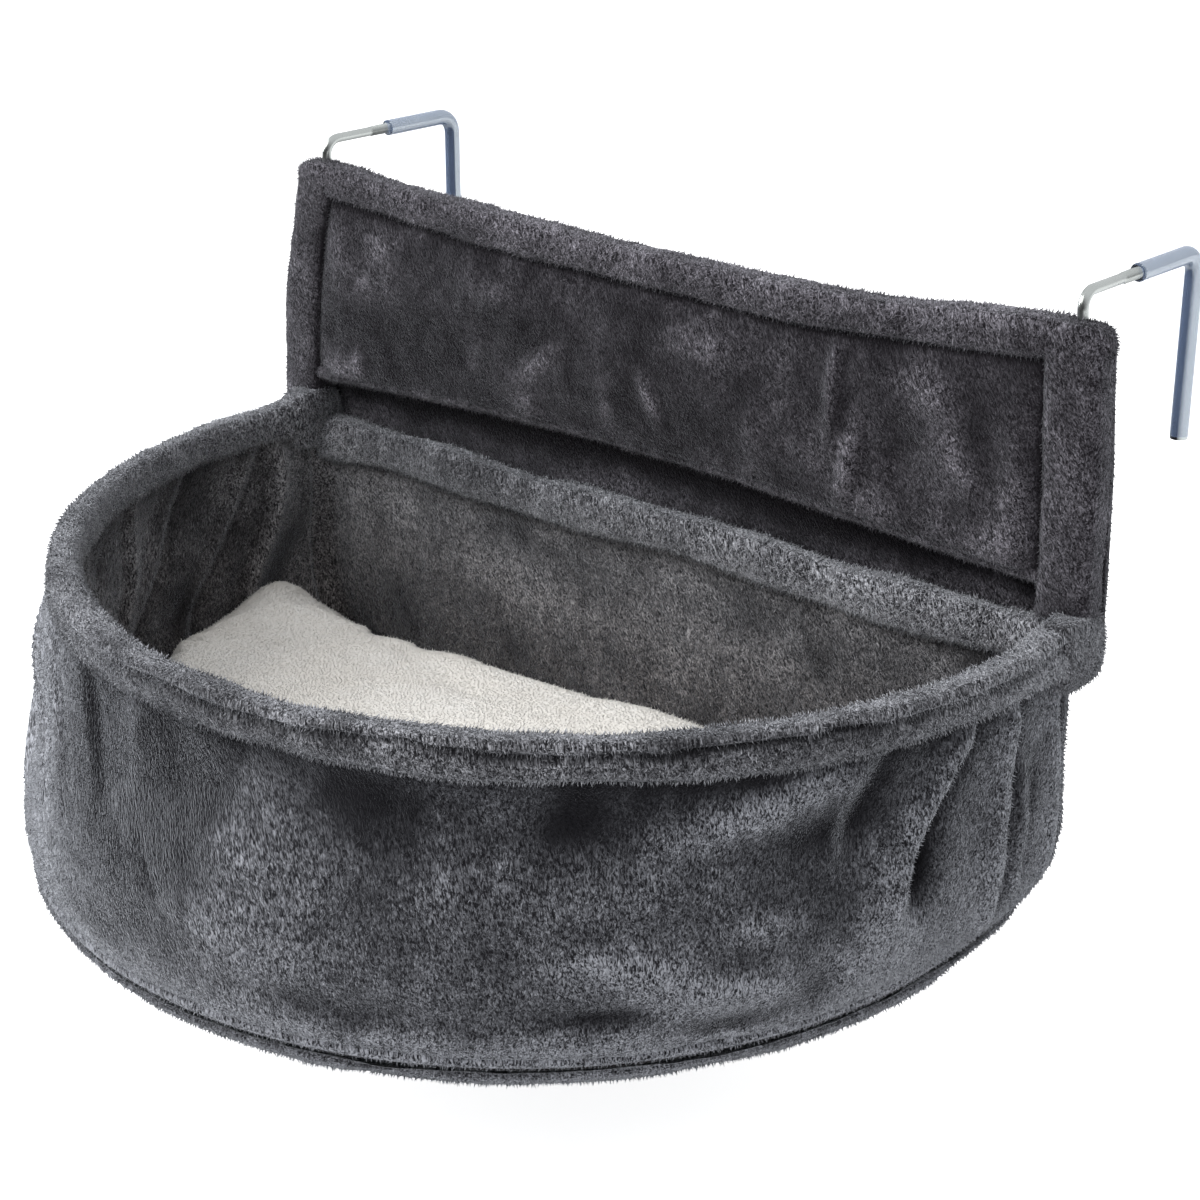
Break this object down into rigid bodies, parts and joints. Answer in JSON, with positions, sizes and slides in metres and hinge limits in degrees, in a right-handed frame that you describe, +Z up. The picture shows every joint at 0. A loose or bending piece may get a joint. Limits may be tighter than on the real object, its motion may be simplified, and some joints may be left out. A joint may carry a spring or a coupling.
{
  "type": "radiator cat bed",
  "caption": "Plush cat bed that hangs on a radiator: a half-round bag on a wire hoop, a padded back panel, a loose cushion and adjustable screw hooks.",
  "frame": {"origin": "on the radiator's top edge, midway between the hooks and in the middle of the gap that they leave", "axes": "+X along the radiator, +Y from the bed towards the wall, +Z up"},
  "size_m": [0.468, 0.3915, 0.2732],
  "materials": {
    "dark_plush": "dark grey short-pile plush",
    "cream_plush": "cream short-pile plush",
    "polyester_fill": "white polyester wadding",
    "zinc_steel": "bright zinc plating",
    "frame_steel": "dull zinc plating",
    "clear_sleeve": "clear flexible PVC with a blue cast",
    "clip_plastic": "moulded polypropylene"
  },
  "bodies": {
    "bed": {"panel_front": "dark_plush", "panel_back": "dark_plush", "panel_top_channel": "dark_plush", "panel_hem": "dark_plush", "left_panel_channel": "dark_plush", "right_panel_channel": "dark_plush", "left_corner_cover": "dark_plush", "right_corner_cover": "dark_plush", "rim_channel": "dark_plush", "rear_roll": "dark_plush", "bag_front_wall": "dark_plush", "bag_rear_wall": "dark_plush", "bag_floor": "dark_plush", "lining_front": "dark_plush", "lining_rear": "dark_plush", "lining_floor": "dark_plush", "base_welt": "dark_plush", "panel_wadding": "polyester_fill", "rim_hoop": "frame_steel", "rear_bar": "frame_steel", "left_corner_clip": "clip_plastic", "right_corner_clip": "clip_plastic"},
    "cushion": {"cushion_top": "cream_plush", "cushion_bottom": "cream_plush", "cushion_filling": "polyester_fill"},
    "left_rod": {"left_upright": "zinc_steel"},
    "left_screw": {"left_thread_insert": "frame_steel"},
    "left_hook": {"left_hook_arm": "zinc_steel", "left_hook_sleeve": "clear_sleeve"},
    "right_rod": {"right_upright": "zinc_steel"},
    "right_screw": {"right_thread_insert": "frame_steel"},
    "right_hook": {"right_hook_arm": "zinc_steel", "right_hook_sleeve": "clear_sleeve"}
  },
  "joints": [
    {"name": "cushion_lift", "type": "slide", "parent": "bed", "child": "cushion", "axis": [0, 0, 1], "range_m": [0, 0.2]},
    {"name": "left_rod_swivel", "type": "hinge", "parent": "bed", "child": "left_rod", "pos_m": [-0.221, -0.045, -0.13], "axis": [0.0816, 0, 0.9967], "range_deg": [-70, 90]},
    {"name": "left_screw_travel", "type": "slide", "parent": "left_rod", "child": "left_screw", "axis": [0, 1, 0], "range_m": [-0.0096, 0.0096]},
    {"name": "left_hook_turn", "type": "hinge", "parent": "left_screw", "child": "left_hook", "pos_m": [-0.21, 0, 0.00435], "axis": [0, 1, 0], "range_deg": [-4320, 4320]},
    {"name": "right_rod_swivel", "type": "hinge", "parent": "bed", "child": "right_rod", "pos_m": [0.221, -0.045, -0.13], "axis": [-0.0816, 0, 0.9967], "range_deg": [-90, 70]},
    {"name": "right_screw_travel", "type": "slide", "parent": "right_rod", "child": "right_screw", "axis": [0, 1, 0], "range_m": [-0.0096, 0.0096]},
    {"name": "right_hook_turn", "type": "hinge", "parent": "right_screw", "child": "right_hook", "pos_m": [0.21, 0, 0.00435], "axis": [0, 1, 0], "range_deg": [-4320, 4320]}
  ],
  "couplings": [
    {"joint": "left_screw_travel", "follows": "left_hook_turn", "m_per_rad": 0.00012732},
    {"joint": "right_screw_travel", "follows": "right_hook_turn", "m_per_rad": 0.00012732}
  ]
}
